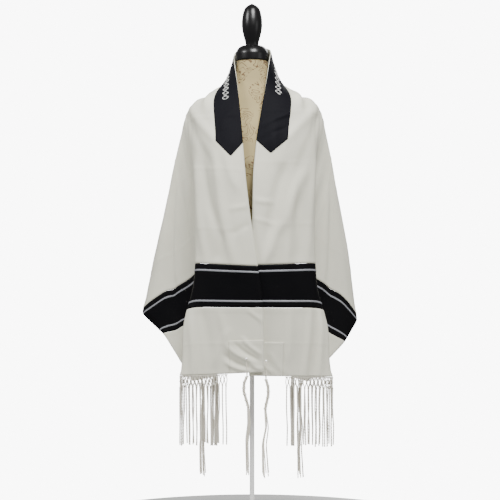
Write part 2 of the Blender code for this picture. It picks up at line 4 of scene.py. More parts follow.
import bpy
import numpy as np
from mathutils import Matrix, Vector


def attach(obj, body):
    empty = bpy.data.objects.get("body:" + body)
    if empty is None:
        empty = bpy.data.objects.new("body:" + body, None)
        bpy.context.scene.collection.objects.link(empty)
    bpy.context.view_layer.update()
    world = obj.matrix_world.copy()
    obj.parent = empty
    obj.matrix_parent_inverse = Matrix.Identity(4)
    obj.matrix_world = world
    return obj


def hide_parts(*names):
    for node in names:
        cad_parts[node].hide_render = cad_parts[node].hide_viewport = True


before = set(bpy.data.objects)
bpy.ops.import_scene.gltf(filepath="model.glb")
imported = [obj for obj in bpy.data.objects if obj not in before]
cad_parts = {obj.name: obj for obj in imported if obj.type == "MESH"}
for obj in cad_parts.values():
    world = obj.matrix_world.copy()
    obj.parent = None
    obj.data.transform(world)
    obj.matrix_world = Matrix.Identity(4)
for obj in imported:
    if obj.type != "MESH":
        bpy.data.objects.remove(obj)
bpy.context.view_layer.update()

# Stand: pole and round foot.
# A slim steel pole with a flange under the form and a flat round foot, painted white. The pole is
# screwed into the foot and the form sits on its flange.


def linear(code):
    """A colour written as sRGB hex, as linear values."""
    values = [int(code[i:i + 2], 16) / 255 for i in (0, 2, 4)]
    return tuple(v / 12.92 if v <= 0.04045 else ((v + 0.055) / 1.055) ** 2.4 for v in values) + (1.0,)


def add(material, kind, settings, links=()):
    """Adds a shader node with its settings; links are (from node, its output, this node's input)."""
    made = material.node_tree.nodes.new(kind)
    for key, value in settings.items():
        if isinstance(key, str) and hasattr(made, key):
            setattr(made, key, value)
        else:
            made.inputs[key].default_value = value
    for source, output, target in links:
        material.node_tree.links.new(source.outputs[output], made.inputs[target])
    return made


def finish_of(name, code, roughness, **settings):
    """A Principled material of one colour."""
    material = bpy.data.materials.new(name)
    material.use_nodes = True
    shader = material.node_tree.nodes["Principled BSDF"]
    shader.inputs["Base Color"].default_value = linear(code)
    shader.inputs["Roughness"].default_value = roughness
    for key, value in settings.items():
        shader.inputs[key.replace("_", " ")].default_value = value
    return material


def bump_from(material, source, output, strength, distance):
    """Drives the shader's normal with a pattern's height, distance in metres."""
    settings = {"Strength": strength, "Distance": distance}
    bump = add(material, "ShaderNodeBump", settings, [(source, output, "Height")])
    shader = material.node_tree.nodes["Principled BSDF"]
    material.node_tree.links.new(bump.outputs["Normal"], shader.inputs["Normal"])


# Satin white paint on steel.
white_paint = finish_of("white_painted_steel", "F6F6F4", 0.45)


def mesh_piece(name, points, faces, material):
    """A piece from its points and faces, shaded smooth."""
    mesh = bpy.data.meshes.new(name)
    mesh.from_pydata(np.asarray(points, float).tolist(), [], [tuple(map(int, face)) for face in faces])
    thing = bpy.data.objects.new(name, mesh)
    bpy.context.scene.collection.objects.link(thing)
    mesh.materials.append(material)
    mesh.polygons.foreach_set("use_smooth", [True] * len(mesh.polygons))
    return thing


def turned(name, profile, material, sides=96):
    """A turned piece from (radius, height) pairs, closed on the axis."""
    turns = [2 * math.pi * k / sides for k in range(sides)]
    rings = [[(r * math.cos(turn), r * math.sin(turn), z) for turn in turns] for r, z in profile]
    return lofted(name, rings, material)


def lofted(name, rings, material):
    """A closed piece through level rings of points, its sharp edges kept sharp."""
    sides = len(rings[0])
    points = [p for ring in rings for p in ring]
    faces = []
    for r in range(len(rings) - 1):
        for k in range(sides):
            a, b = r * sides + k, r * sides + (k + 1) % sides
            faces.append((a, b, b + sides, a + sides))
    faces.append(tuple(reversed(range(sides))))
    faces.append(tuple(range(len(points) - sides, len(points))))
    thing = mesh_piece(name, points, faces, material)
    crease = thing.modifiers.new("edges", "EDGE_SPLIT")
    crease.split_angle = math.radians(40)
    return thing


def rounded(corners, radius=0.0012, steps=4):
    """Rounds the corners of a (radius, height) profile."""
    out = [corners[0]]
    for before, here, after in zip(corners, corners[1:], corners[2:]):
        here, before, after = Vector(here), Vector(before), Vector(after)
        reach_in = min(radius, (before - here).length * 0.45)
        reach_out = min(radius, (after - here).length * 0.45)
        start = here + (before - here).normalized() * reach_in
        end = here + (after - here).normalized() * reach_out
        for i in range(steps + 1):
            t = i / steps
            out.append(tuple((1 - t) ** 2 * start + 2 * t * (1 - t) * here + t * t * end))
    out.append(corners[-1])
    return out


def stands_for(piece, slot_name, *nodes):
    """Fixes a piece to the form and shows it in place of its solid; its slot name is not used."""
    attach(piece, "root")
    if nodes:
        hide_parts(*nodes)
    return piece


# Radius and height in metres, upwards: the pole's foot, its top, and the flange under the form.
pole_profile = [(0.0070, 0.0203), (0.0070, 0.6860), (0.0450, 0.6910), (0.0450, 0.6997)]
pole = turned("stand_pole_turned", rounded(pole_profile), white_paint)
stands_for(pole, "white_painted_steel", "stand_pole")
foot_profile = [(0.1680, 0.0), (0.1700, 0.0030), (0.1660, 0.0080), (0.0350, 0.0110), (0.0220, 0.0200)]
foot = turned("stand_foot_turned", rounded(foot_profile, 0.003), white_paint)
stands_for(foot, "white_painted_steel", "stand_base")

# Form: a padded torso covered in linen.
# A limbless figure, padded and covered in unbleached linen, that the shawl lies on. Only the chest
# between the ends of the neckband shows.

# Level sections from the hips up to the neck, in metres.
SectionRow = namedtuple("SectionRow", "z half_width half_depth centre_x centre_y")
TORSO = [
    SectionRow(0.700, 0.118, 0.088, 0.000, 0.000),
    SectionRow(0.720, 0.126, 0.094, 0.000, 0.000),
    SectionRow(0.800, 0.130, 0.094, 0.000, 0.000),
    SectionRow(0.880, 0.122, 0.088, 0.000, 0.000),
    SectionRow(0.960, 0.114, 0.086, 0.000, 0.000),
    SectionRow(1.040, 0.126, 0.100, 0.000, -0.006),
    SectionRow(1.110, 0.146, 0.112, 0.000, -0.008),
    SectionRow(1.170, 0.160, 0.108, 0.002, -0.004),
    SectionRow(1.215, 0.170, 0.098, 0.004, 0.000),
    SectionRow(1.245, 0.170, 0.086, 0.004, 0.004),
    SectionRow(1.270, 0.159, 0.077, 0.005, 0.006),
    SectionRow(1.285, 0.147, 0.072, 0.005, 0.006),
    SectionRow(1.300, 0.141, 0.068, 0.0045, 0.006),
    SectionRow(1.315, 0.1166, 0.062, 0.004, 0.005),
    SectionRow(1.330, 0.090, 0.056, 0.003, 0.004),
    SectionRow(1.350, 0.066, 0.050, 0.002, 0.002),
    SectionRow(1.380, 0.050, 0.047, 0.001, 0.000),
    SectionRow(1.412, 0.0455, 0.0455, 0.000, 0.000),
]

# Unbleached linen, plain woven: dull, with a fine uneven grain. Its threads are under 1 mm, and the
# grain is drawn at about 1.1 mm so that it shows.
linen = finish_of("form_linen", "A6976E", 0.92)
linen_place = add(linen, "ShaderNodeTexCoord", {})
on_linen = [(linen_place, "Object", "Vector")]
linen_weave = add(linen, "ShaderNodeTexNoise", {"Scale": 900.0, "Detail": 4.0}, on_linen)
bump_from(linen, linen_weave, "Fac", 0.25, 0.0004)
# Printed with fine brown scrollwork, an abstract pattern of curling lines in groups some 60 mm
# across, with no lettering in it.
print_settings = {"Scale": 17.0, "Detail": 0.0, "Distortion": 3.0}
print_field = add(linen, "ShaderNodeTexNoise", print_settings, on_linen)
print_steps = add(linen, "ShaderNodeMath", {"operation": "MULTIPLY", 1: 6.0}, [(print_field, "Fac", 0)])
print_turns = add(linen, "ShaderNodeMath", {"operation": "FRACT"}, [(print_steps, 0, 0)])
thin_line = {"operation": "COMPARE", 1: 0.5, 2: 0.12}
print_line = add(linen, "ShaderNodeMath", thin_line, [(print_turns, 0, 0)])
print_where = add(linen, "ShaderNodeTexNoise", {"Scale": 13.0, "Detail": 0.0}, on_linen)
in_groups = {"operation": "GREATER_THAN", 1: 0.43}
print_group = add(linen, "ShaderNodeMath", in_groups, [(print_where, "Fac", 0)])
both = [(print_line, 0, 0), (print_group, 0, 1)]
print_inked = add(linen, "ShaderNodeMath", {"operation": "MULTIPLY"}, both)
print_fade = add(linen, "ShaderNodeMath", {"operation": "MULTIPLY", 1: 0.85}, [(print_inked, 0, 0)])
linen_tone = add(linen, "ShaderNodeMix", {"data_type": "RGBA"}, [(print_fade, 0, "Factor")])
linen_tone.inputs[6].default_value = linear("A6976E")
linen_tone.inputs[7].default_value = linear("5E4630")
linen_shader = linen.node_tree.nodes["Principled BSDF"]
linen.node_tree.links.new(linen_tone.outputs[2], linen_shader.inputs["Base Color"])

TORSO_RINGS = 120
TORSO_SIDES = 96
SMOOTHED_OVER = 0.006
# The linen shows this much inside the solid, so the cloth on it stays clear.
INSET = 0.0006
heights = np.array([row.z for row in TORSO])


def torso_size(key, z):
    """One column of the table at a height, smoothed over its neighbourhood."""
    values = [getattr(row, key) for row in TORSO]
    near = [np.interp(np.clip(z + d, heights[0], heights[-1]), heights, values)
            for d in (-SMOOTHED_OVER, 0.0, SMOOTHED_OVER)]
    return sum(near) / 3


rings = []
for z in np.linspace(heights[0], heights[-1], TORSO_RINGS):
    half_width, half_depth = torso_size("half_width", z) - INSET, torso_size("half_depth", z) - INSET
    centre_x, centre_y = torso_size("centre_x", z), torso_size("centre_y", z)
    turns = [2 * math.pi * k / TORSO_SIDES for k in range(TORSO_SIDES)]
    rings.append([(centre_x + half_width * math.cos(turn), centre_y + half_depth * math.sin(turn), z)
                  for turn in turns])
torso = lofted("form_torso_padded", rings, linen)
stands_for(torso, "form_linen", "form_torso")

# Neck cap and finial.
# A turned neck cap in two steps and an egg-shaped finial, lacquered black, dowelled on the neck.

# Black lacquer on turned wood: deep black with soft, broad highlights.
lacquer = finish_of("black_lacquered_wood", "060506", 0.32, Specular_IOR_Level=0.35, Coat_Weight=0.10,
                    Coat_Roughness=0.15)

# Radius and height of the cap, from the neck up to its domed top.
cap_profile = [(0.0465, 1.4124), (0.0487, 1.4145), (0.0487, 1.4330), (0.0478, 1.4372), (0.0455, 1.4430),
               (0.0420, 1.4487), (0.0370, 1.4538), (0.0300, 1.4572), (0.0220, 1.4580)]
cap = turned("neck_cap_turned", rounded(cap_profile, 0.002), lacquer)
stands_for(cap, "black_lacquered_wood", "neck_cap")

# The egg's height above its seat on the cap, and its radius there, up to the crown.
EGG_SEAT = 1.4583
EGG = [(0.000, 0.0190), (0.008, 0.0193), (0.0226, 0.0238), (0.0403, 0.0282), (0.058, 0.0307), (0.0757, 0.0302),
       (0.0934, 0.0275), (0.1050, 0.0241), (0.1111, 0.0211), (0.1170, 0.0163), (0.1205, 0.0115),
       (0.1228, 0.0064), (0.1237, 0.0020)]
egg_heights = np.linspace(0.0, EGG[-1][0], 49)
egg_radii = np.interp(egg_heights, [row[0] for row in EGG], [row[1] for row in EGG])
for _ in range(6):
    egg_radii[2:-1] = (egg_radii[1:-2] + 2 * egg_radii[2:-1] + egg_radii[3:]) / 4
egg = [(float(r), EGG_SEAT + float(h)) for h, r in zip(egg_heights, egg_radii)]
finial = turned("finial_turned", egg, lacquer)
stands_for(finial, "black_lacquered_wood", "finial")

# Shawl: the main cloth.
# One length of white cloth, 1.38 by 0.56 m to the seams, thrown round the neck: it stands up behind
# the neck cap, lies on both shoulders and hangs in folds. Hemmed by hand along both long edges.

# The flat cloth: u runs along it from the centre back, negative on the photo's left, and v across it
# from the neck and front edge. All in metres.
HALF_LENGTH = 1.02
WIDTH = 0.56
BAND_START = 0.69
BAND_END = 0.82
CLOTH = 0.0016
SEAM_GAP = 0.0003
# The point of the flat cloth that lies on the shoulder, where the folds fan out.
SHOULDER_U = 0.21
SHOULDER_V = 0.18
# How far a fold is rounded along the cloth, how much more on the shoulder, and over what reach.
SOFTNESS = 0.022
SHOULDER_SOFTNESS = 0.014
SHOULDER_ROUND = 0.17
# Share of a fold's length at which the tables give its middle, and how far a flare comes forward.
MIDWAY = 0.6
FLARE_FORWARD = 0.6

EdgeRow = namedtuple("EdgeRow", "u x y z")
FoldRow = namedtuple("FoldRow", "angle mid_x mid_y mid_z rim_x rim_y rim_z flare")
BackRow = namedtuple("BackRow", "u top_x top_y top_z mid_x mid_y mid_z rim_x rim_y rim_z")
BulgeRow = namedtuple("BulgeRow", "u forward")
# Neck and front edge, outwards from the middle plane: the near half, on the photo's left, lies over
# the far one.
EDGE_NEAR = [
    EdgeRow(0.00, 0.000, 0.066, 1.458),
    EdgeRow(0.04, 0.040, 0.050, 1.456),
    EdgeRow(0.08, 0.0555, 0.008, 1.428),
    EdgeRow(0.12, 0.0505, -0.036, 1.398),
    EdgeRow(0.18, 0.042, -0.070, 1.334),
    EdgeRow(0.25, 0.034, -0.098, 1.253),
    EdgeRow(0.33, 0.027, -0.124, 1.165),
    EdgeRow(0.43, 0.018, -0.138, 1.061),
    EdgeRow(0.52, 0.0075, -0.142, 0.971),
    EdgeRow(0.68, -0.0157, -0.144, 0.819),
    EdgeRow(0.82, -0.0325, -0.142, 0.692),
    EdgeRow(1.02, -0.0345, -0.136, 0.508),
]
EDGE_FAR = [
    EdgeRow(0.00, 0.000, 0.066, 1.458),
    EdgeRow(0.04, 0.040, 0.050, 1.459),
    EdgeRow(0.08, 0.0565, 0.012, 1.446),
    EdgeRow(0.12, 0.0510, -0.032, 1.415),
    EdgeRow(0.18, 0.040, -0.068, 1.338),
    EdgeRow(0.25, 0.026, -0.096, 1.254),
    EdgeRow(0.33, 0.0125, -0.118, 1.172),
    EdgeRow(0.43, 0.003, -0.129, 1.075),
    EdgeRow(0.52, 0.001, -0.133, 0.985),
    EdgeRow(0.68, -0.003, -0.134, 0.822),
    EdgeRow(0.82, -0.006, -0.132, 0.692),
    EdgeRow(1.02, -0.009, -0.126, 0.496),
]

# Folds that fan out below the shoulder point, by angle in the flat cloth from its length:
# where the fold passes midway, where it ends at the cloth's edge, and how far it flares out between.
FOLDS_NEAR = [
    FoldRow(0.0, 0.160, -0.088, 0.812, 0.142, -0.106, 0.497, 0.000),
    FoldRow(1.4, 0.170, -0.082, 0.811, 0.163, -0.105, 0.497, 0.000),
    FoldRow(3.5, 0.165, -0.064, 0.806, 0.192, -0.103, 0.495, 0.010),
    FoldRow(5.5, 0.159, -0.046, 0.800, 0.217, -0.097, 0.494, 0.028),
    FoldRow(10.0, 0.150, -0.010, 0.795, 0.150, -0.070, 0.490, 0.004),
    FoldRow(14.0, 0.162, 0.018, 0.785, 0.095, -0.046, 0.488, 0.000),
    FoldRow(19.0, 0.182, 0.036, 0.765, 0.118, -0.016, 0.482, 0.000),
    FoldRow(25.1, 0.226, 0.060, 0.738, 0.176, 0.006, 0.468, 0.000),
    FoldRow(31.6, 0.248, 0.064, 0.850, 0.263, 0.062, 0.602, 0.000),
    FoldRow(37.2, 0.284, 0.064, 0.905, 0.332, 0.098, 0.663, 0.000),
    FoldRow(40.2, 0.280, 0.074, 0.922, 0.328, 0.134, 0.686, 0.000),
    FoldRow(46.5, 0.246, 0.094, 0.950, 0.272, 0.176, 0.735, 0.000),
    FoldRow(57.7, 0.222, 0.074, 0.990, 0.236, 0.102, 0.800, 0.000),
    FoldRow(72.5, 0.188, 0.090, 1.026, 0.182, 0.158, 0.857, 0.000),
    FoldRow(90.0, 0.158, 0.088, 1.053, 0.132, 0.122, 0.900, 0.000),
]
FOLDS_FAR = [
    FoldRow(0.0, 0.178, -0.084, 0.812, 0.166, -0.100, 0.492, 0.000),
    FoldRow(1.4, 0.187, -0.078, 0.811, 0.187, -0.098, 0.492, 0.000),
    FoldRow(3.5, 0.183, -0.060, 0.806, 0.216, -0.095, 0.491, 0.010),
    FoldRow(5.5, 0.176, -0.044, 0.800, 0.242, -0.087, 0.490, 0.028),
    FoldRow(10.0, 0.156, -0.014, 0.795, 0.175, -0.064, 0.487, 0.004),
    FoldRow(14.0, 0.160, 0.018, 0.785, 0.112, -0.046, 0.485, 0.000),
    FoldRow(19.0, 0.184, 0.040, 0.768, 0.122, -0.012, 0.480, 0.000),
    FoldRow(25.1, 0.222, 0.062, 0.744, 0.165, 0.012, 0.466, 0.000),
    FoldRow(31.6, 0.252, 0.066, 0.850, 0.276, 0.058, 0.578, 0.000),
    FoldRow(37.2, 0.283, 0.072, 0.905, 0.318, 0.092, 0.644, 0.000),
    FoldRow(40.2, 0.280, 0.084, 0.922, 0.316, 0.130, 0.668, 0.000),
    FoldRow(46.5, 0.254, 0.102, 0.948, 0.284, 0.172, 0.716, 0.000),
    FoldRow(57.7, 0.228, 0.078, 0.990, 0.246, 0.106, 0.790, 0.000),
    FoldRow(72.5, 0.194, 0.092, 1.028, 0.188, 0.158, 0.852, 0.000),
    FoldRow(90.0, 0.162, 0.090, 1.055, 0.136, 0.124, 0.900, 0.000),
]
SHOULDER_NEAR = (0.197, 0.000, 1.292)
SHOULDER_FAR = (0.208, 0.000, 1.299)

# The back, from the centre line out to the shoulder point.
BACK = [
    BackRow(0.00, 0.000, 0.122, 1.284, 0.000, 0.139, 1.058, 0.000, 0.130, 0.910),
    BackRow(0.07, 0.075, 0.112, 1.288, 0.062, 0.143, 1.057, 0.056, 0.144, 0.909),
    BackRow(0.14, 0.142, 0.070, 1.290, 0.118, 0.121, 1.055, 0.100, 0.132, 0.905),
]

# How far the cloth between neck edge and shoulder line stands forward of a straight line.
BULGE = [
    BulgeRow(0.00, -0.012),
    BulgeRow(0.12, 0.000),
    BulgeRow(0.22, 0.022),
    BulgeRow(0.34, 0.040),
    BulgeRow(0.50, 0.026),
    BulgeRow(0.70, 0.014),
    BulgeRow(0.85, 0.006),
    BulgeRow(1.02, 0.004),
]


def column(rows, name):
    """One column of a table."""
    return np.array([getattr(row, name) for row in rows])


def along(rows, key, names, at):
    """Reads three columns of a table at the given values of its key column."""
    keys = column(rows, key)
    return np.stack([np.interp(at, keys, column(rows, name)) for name in names], axis=-1)


def through(start, middle, end, t):
    """A smooth line from start at 0 past middle at MIDWAY to end at 1."""
    t = t[..., None]
    first = (1 - t) * (MIDWAY - t) / MIDWAY
    second = t * (1 - t) / (MIDWAY * (1 - MIDWAY))
    third = t * (t - MIDWAY) / (1 - MIDWAY)
    return first * start + second * middle + third * end


def fan(folds, shoulder, angle, reach):
    """The part of the cloth that hangs from the shoulder point."""
    wide = np.radians(np.clip(angle, 0.001, 89.999))
    to_edge = np.minimum((HALF_LENGTH - SHOULDER_U) / np.cos(wide), (WIDTH - SHOULDER_V) / np.sin(wide))
    middle = along(folds, "angle", ("mid_x", "mid_y", "mid_z"), angle)
    end = along(folds, "angle", ("rim_x", "rim_y", "rim_z"), angle)
    share = reach / to_edge
    place = through(np.array(shoulder), middle, end, share)
    flare = np.interp(angle, column(folds, "angle"), column(folds, "flare"))
    flare = flare * np.sin(math.pi * (np.clip(share, MIDWAY, 1.0) - MIDWAY) / (1 - MIDWAY)) ** 2
    place[..., 0] += flare
    place[..., 1] -= FLARE_FORWARD * flare
    return place


def half_cloth(u, v, edge, folds, shoulder):
    """One half of the draped cloth, u counted from the centre back, x outwards."""
    last = folds[-1]
    shoulder_row = BackRow(SHOULDER_U, *shoulder, *last[1:7])
    back = BACK + [shoulder_row]
    top = along(back, "u", ("top_x", "top_y", "top_z"), u)
    front_line = fan(folds, shoulder, np.zeros_like(u), np.maximum(u - SHOULDER_U, 0.0))
    line = np.where((u < SHOULDER_U)[..., None], top, front_line)
    neck = along(edge, "u", ("x", "y", "z"), u)
    share = np.clip(v / SHOULDER_V, 0.0, 1.0)[..., None]
    yoke = neck * (1 - share) + line * share
    forward = np.interp(u, column(BULGE, "u"), column(BULGE, "forward"))
    yoke[..., 1] -= 4 * share[..., 0] * (1 - share[..., 0]) * forward
    out, down = u - SHOULDER_U, v - SHOULDER_V
    angle = np.degrees(np.arctan2(np.maximum(down, 0.0), np.maximum(out, 1e-9)))
    cascade = fan(folds, shoulder, angle, np.hypot(np.maximum(out, 0.0), np.maximum(down, 0.0)))
    middle = along(back, "u", ("mid_x", "mid_y", "mid_z"), u)
    end = along(back, "u", ("rim_x", "rim_y", "rim_z"), u)
    behind = through(top, middle, end, np.clip(down / (WIDTH - SHOULDER_V), 0.0, 1.0))
    lower = np.where((out < 0)[..., None], behind, cascade)
    return np.where((down < 0)[..., None], yoke, lower)


def sharp_cloth(u, v):
    """Both halves of the draped cloth, folds still sharp."""
    near = half_cloth(np.abs(u), v, EDGE_NEAR, FOLDS_NEAR, SHOULDER_NEAR)
    near[..., 0] *= -1
    far = half_cloth(np.abs(u), v, EDGE_FAR, FOLDS_FAR, SHOULDER_FAR)
    return np.where((u < 0)[..., None], near, far)


def cloth(u, v):
    """The draped cloth's middle surface, with every fold rounded softly."""
    u, v = np.broadcast_arrays(np.asarray(u, float), np.asarray(v, float))
    from_shoulder = np.hypot(np.abs(u) - SHOULDER_U, v - SHOULDER_V)
    soft = SOFTNESS + SHOULDER_SOFTNESS * np.exp(-((from_shoulder / SHOULDER_ROUND) ** 2))
    reach_u = np.minimum(soft, HALF_LENGTH - np.abs(u))
    reach_v = np.minimum(soft, np.minimum(v, WIDTH - v))
    steps = (-1.0, -0.5, 0.0, 0.5, 1.0)
    weights = (1.0, 2.0, 3.0, 2.0, 1.0)
    total = 0.0
    for step_u, weight_u in zip(steps, weights):
        for step_v, weight_v in zip(steps, weights):
            total = total + weight_u * weight_v * sharp_cloth(u + step_u * reach_u, v + step_v * reach_v)
    return total / sum(weights) ** 2


def outward(u, v):
    """Unit direction away from the wearer's body."""
    u, v = np.broadcast_arrays(np.asarray(u, float), np.asarray(v, float))
    step = 0.005
    low_u, high_u = np.maximum(u - step, -HALF_LENGTH), np.minimum(u + step, HALF_LENGTH)
    low_v, high_v = np.maximum(v - step, 0.0), np.minimum(v + step, WIDTH)
    across = np.cross(cloth(high_u, v) - cloth(low_u, v), cloth(u, high_v) - cloth(u, low_v))
    return across / np.linalg.norm(across, axis=-1, keepdims=True)


# Creases pressed or pulled into the cloth: from and to in the flat cloth (u is negative on the
# photo's left), how far they stand out (troughs are negative) and their half width, in metres.
Crease = namedtuple("Crease", "u0 v0 u1 v1 height width")
CREASES = [
    Crease(-0.400, 0.095, -0.660, 0.068, 0.0072, 0.015),
    Crease(-0.380, 0.138, -0.560, 0.112, -0.0062, 0.014),
    Crease(-0.230, 0.160, -0.330, 0.095, 0.0050, 0.014),
    Crease(-0.245, 0.175, -0.390, 0.120, -0.0036, 0.014),
    Crease(-0.420, 0.165, -0.660, 0.150, 0.0046, 0.012),
    Crease(-0.360, 0.060, -0.460, 0.030, 0.0034, 0.014),
    Crease(-0.505, 0.010, -0.530, 0.055, 0.0022, 0.007),
    Crease(-0.560, 0.015, -0.600, 0.060, -0.0022, 0.009),
    Crease(-0.600, 0.100, -0.672, 0.110, -0.0034, 0.010),
    Crease(0.230, 0.160, 0.330, 0.095, 0.0052, 0.014),
    Crease(0.240, 0.178, 0.420, 0.130, -0.0036, 0.014),
    Crease(0.430, 0.142, 0.570, 0.088, 0.0068, 0.016),
    Crease(0.420, 0.088, 0.600, 0.044, -0.0056, 0.015),
    Crease(0.585, 0.078, 0.676, 0.034, 0.0050, 0.013),
    Crease(0.400, 0.176, 0.665, 0.160, 0.0052, 0.011),
    Crease(0.520, 0.136, 0.670, 0.126, -0.0044, 0.011),
    Crease(0.470, 0.118, 0.675, 0.100, 0.0030, 0.010),
    Crease(0.500, 0.010, 0.520, 0.050, 0.0026, 0.007),
    Crease(0.555, 0.012, 0.580, 0.052, 0.0022, 0.006),
    Crease(0.300, 0.040, 0.400, 0.075, 0.0034, 0.014),
    Crease(0.255, 0.078, 0.296, 0.016, 0.0030, 0.006),
    Crease(0.300, 0.070, 0.336, 0.020, -0.0022, 0.006),
    Crease(-0.250, 0.020, -0.290, 0.070, 0.0022, 0.008),
    Crease(-0.095, 0.104, -0.215, 0.118, 0.0085, 0.012),
    Crease(-0.110, 0.140, -0.200, 0.160, 0.0050, 0.010),
    Crease(0.085, 0.104, 0.210, 0.118, 0.0100, 0.012),
    Crease(0.105, 0.140, 0.215, 0.156, 0.0060, 0.010),
    Crease(0.150, 0.122, 0.240, 0.136, -0.0040, 0.008),
    Crease(-0.020, 0.130, -0.026, 0.460, 0.0064, 0.014),
    Crease(0.050, 0.150, 0.043, 0.500, 0.0070, 0.013),
    Crease(-0.100, 0.180, -0.085, 0.520, 0.0076, 0.014),
    Crease(0.120, 0.200, 0.100, 0.540, 0.0066, 0.014),
    Crease(0.160, 0.240, 0.180, 0.520, 0.0056, 0.013),
    Crease(-0.155, 0.230, -0.185, 0.530, 0.0060, 0.013),
    Crease(-0.060, 0.280, -0.052, 0.540, -0.0036, 0.012),
    Crease(-0.300, 0.300, -0.560, 0.500, 0.0052, 0.016),
    Crease(0.300, 0.300, 0.560, 0.500, 0.0050, 0.016),
    Crease(-0.400, 0.330, -0.640, 0.500, -0.0044, 0.015),
    Crease(0.400, 0.335, 0.650, 0.505, -0.0044, 0.015),
    Crease(-0.440, 0.290, -0.675, 0.390, 0.0048, 0.014),
    Crease(0.440, 0.290, 0.675, 0.380, 0.0048, 0.014),
    Crease(-0.400, 0.240, -0.670, 0.270, 0.0040, 0.013),
    Crease(0.400, 0.240, 0.670, 0.262, 0.0040, 0.013),
    Crease(-0.845, 0.205, -1.015, 0.212, 0.0058, 0.011),
    Crease(-0.835, 0.165, -1.010, 0.158, -0.0038, 0.014),
    Crease(-0.835, 0.116, -0.940, 0.112, 0.0036, 0.011),
    Crease(0.840, 0.170, 1.015, 0.172, 0.0050, 0.010),
    Crease(0.840, 0.205, 1.015, 0.214, 0.0054, 0.010),
    Crease(0.835, 0.188, 1.010, 0.192, -0.0038, 0.010),
    Crease(0.835, 0.110, 0.960, 0.124, 0.0034, 0.012),
    Crease(-0.828, 0.034, -0.870, 0.008, 0.0032, 0.006),
    Crease(-0.900, 0.100, -0.985, 0.150, 0.0028, 0.010),
    Crease(-0.915, 0.052, -0.968, 0.014, 0.0044, 0.006),
    Crease(-0.930, 0.074, -0.985, 0.024, -0.0040, 0.006),
    Crease(-0.940, 0.094, -0.990, 0.036, 0.0056, 0.007),
    Crease(-0.962, 0.106, -1.004, 0.058, -0.0046, 0.007),
    Crease(-0.985, 0.104, -1.014, 0.050, 0.0050, 0.006),
    Crease(-0.990, 0.034, -1.012, 0.004, 0.0040, 0.006),
    Crease(0.965, 0.020, 1.004, 0.070, 0.0048, 0.007),
    Crease(0.985, 0.012, 1.012, 0.040, -0.0036, 0.006),
    Crease(0.960, 0.060, 1.005, 0.110, 0.0028, 0.009),
    Crease(-0.860, 0.400, -0.990, 0.480, 0.0036, 0.013),
    Crease(0.860, 0.400, 0.990, 0.480, 0.0036, 0.013),
]
# Turned hems, and the seam allowance that shows through beside the black bands.
HEM = 0.009
ALLOWANCE = 0.017
STANDS_OUT = 0.0005
# Storage folds, pressed flat when the shawl was put away: straight across and once along.
PRESSED_ACROSS = (-0.93, -0.585, -0.41, -0.26, -0.09, 0.09, 0.25, 0.395, 0.575, 0.925)
PRESSED_ALONG = 0.28


def relief(u, v):
    """How far creases and slack stand out from the drape."""
    height = np.zeros_like(u)
    for row in CREASES:
        du, dv = row.u1 - row.u0, row.v1 - row.v0
        along_it = ((u - row.u0) * du + (v - row.v0) * dv) / (du * du + dv * dv)
        bowed = 0.006 * np.sin(3.0 * np.clip(along_it, 0, 1) + 9.0 * row.u0)
        off = ((u - row.u0) * dv - (v - row.v0) * du) / math.hypot(du, dv) + bowed
        reach = np.clip(along_it, -0.3, 1.3)
        ends = np.clip((reach + 0.3) / 0.45, 0, 1) * np.clip((1.3 - reach) / 0.45, 0, 1)
        ends = ends * ends * (3 - 2 * ends)
        height += row.height * ends * np.exp(-(off / row.width) ** 2)
    for i, at in enumerate(PRESSED_ACROSS):
        height += 0.0009 * np.exp(-((u - at - 0.002 * np.sin(7 * v + i)) / 0.0028) ** 2)
    height += 0.0008 * np.exp(-((v - PRESSED_ALONG) / 0.003) ** 2)
    slack = np.sin(21 * u + 13 * v) * np.sin(17 * v - 9 * u + 1.3)
    slack += 0.6 * np.sin(47 * u - 23 * v + 0.7) * np.sin(39 * v + 2.1)
    height += 0.0007 * slack
    from_edge = np.minimum(np.minimum(v, WIDTH - v), HALF_LENGTH - np.abs(u))
    height += STANDS_OUT * np.clip((HEM + 0.001 - from_edge) / 0.0015, 0.0, 1.0)
    from_band = np.maximum(BAND_START - np.abs(u), np.abs(u) - BAND_END)
    height += STANDS_OUT * np.clip((ALLOWANCE - from_band) / 0.003, 0.0, 1.0)
    settled = np.clip(np.minimum(v, WIDTH - v) / 0.01, 0.3, 1.0)
    on_form = np.exp(-((np.hypot(np.abs(u) - 0.15, v - 0.12)) / 0.05) ** 2)
    return np.where(height < 0, height * (1 - 0.9 * on_form), height) * settled


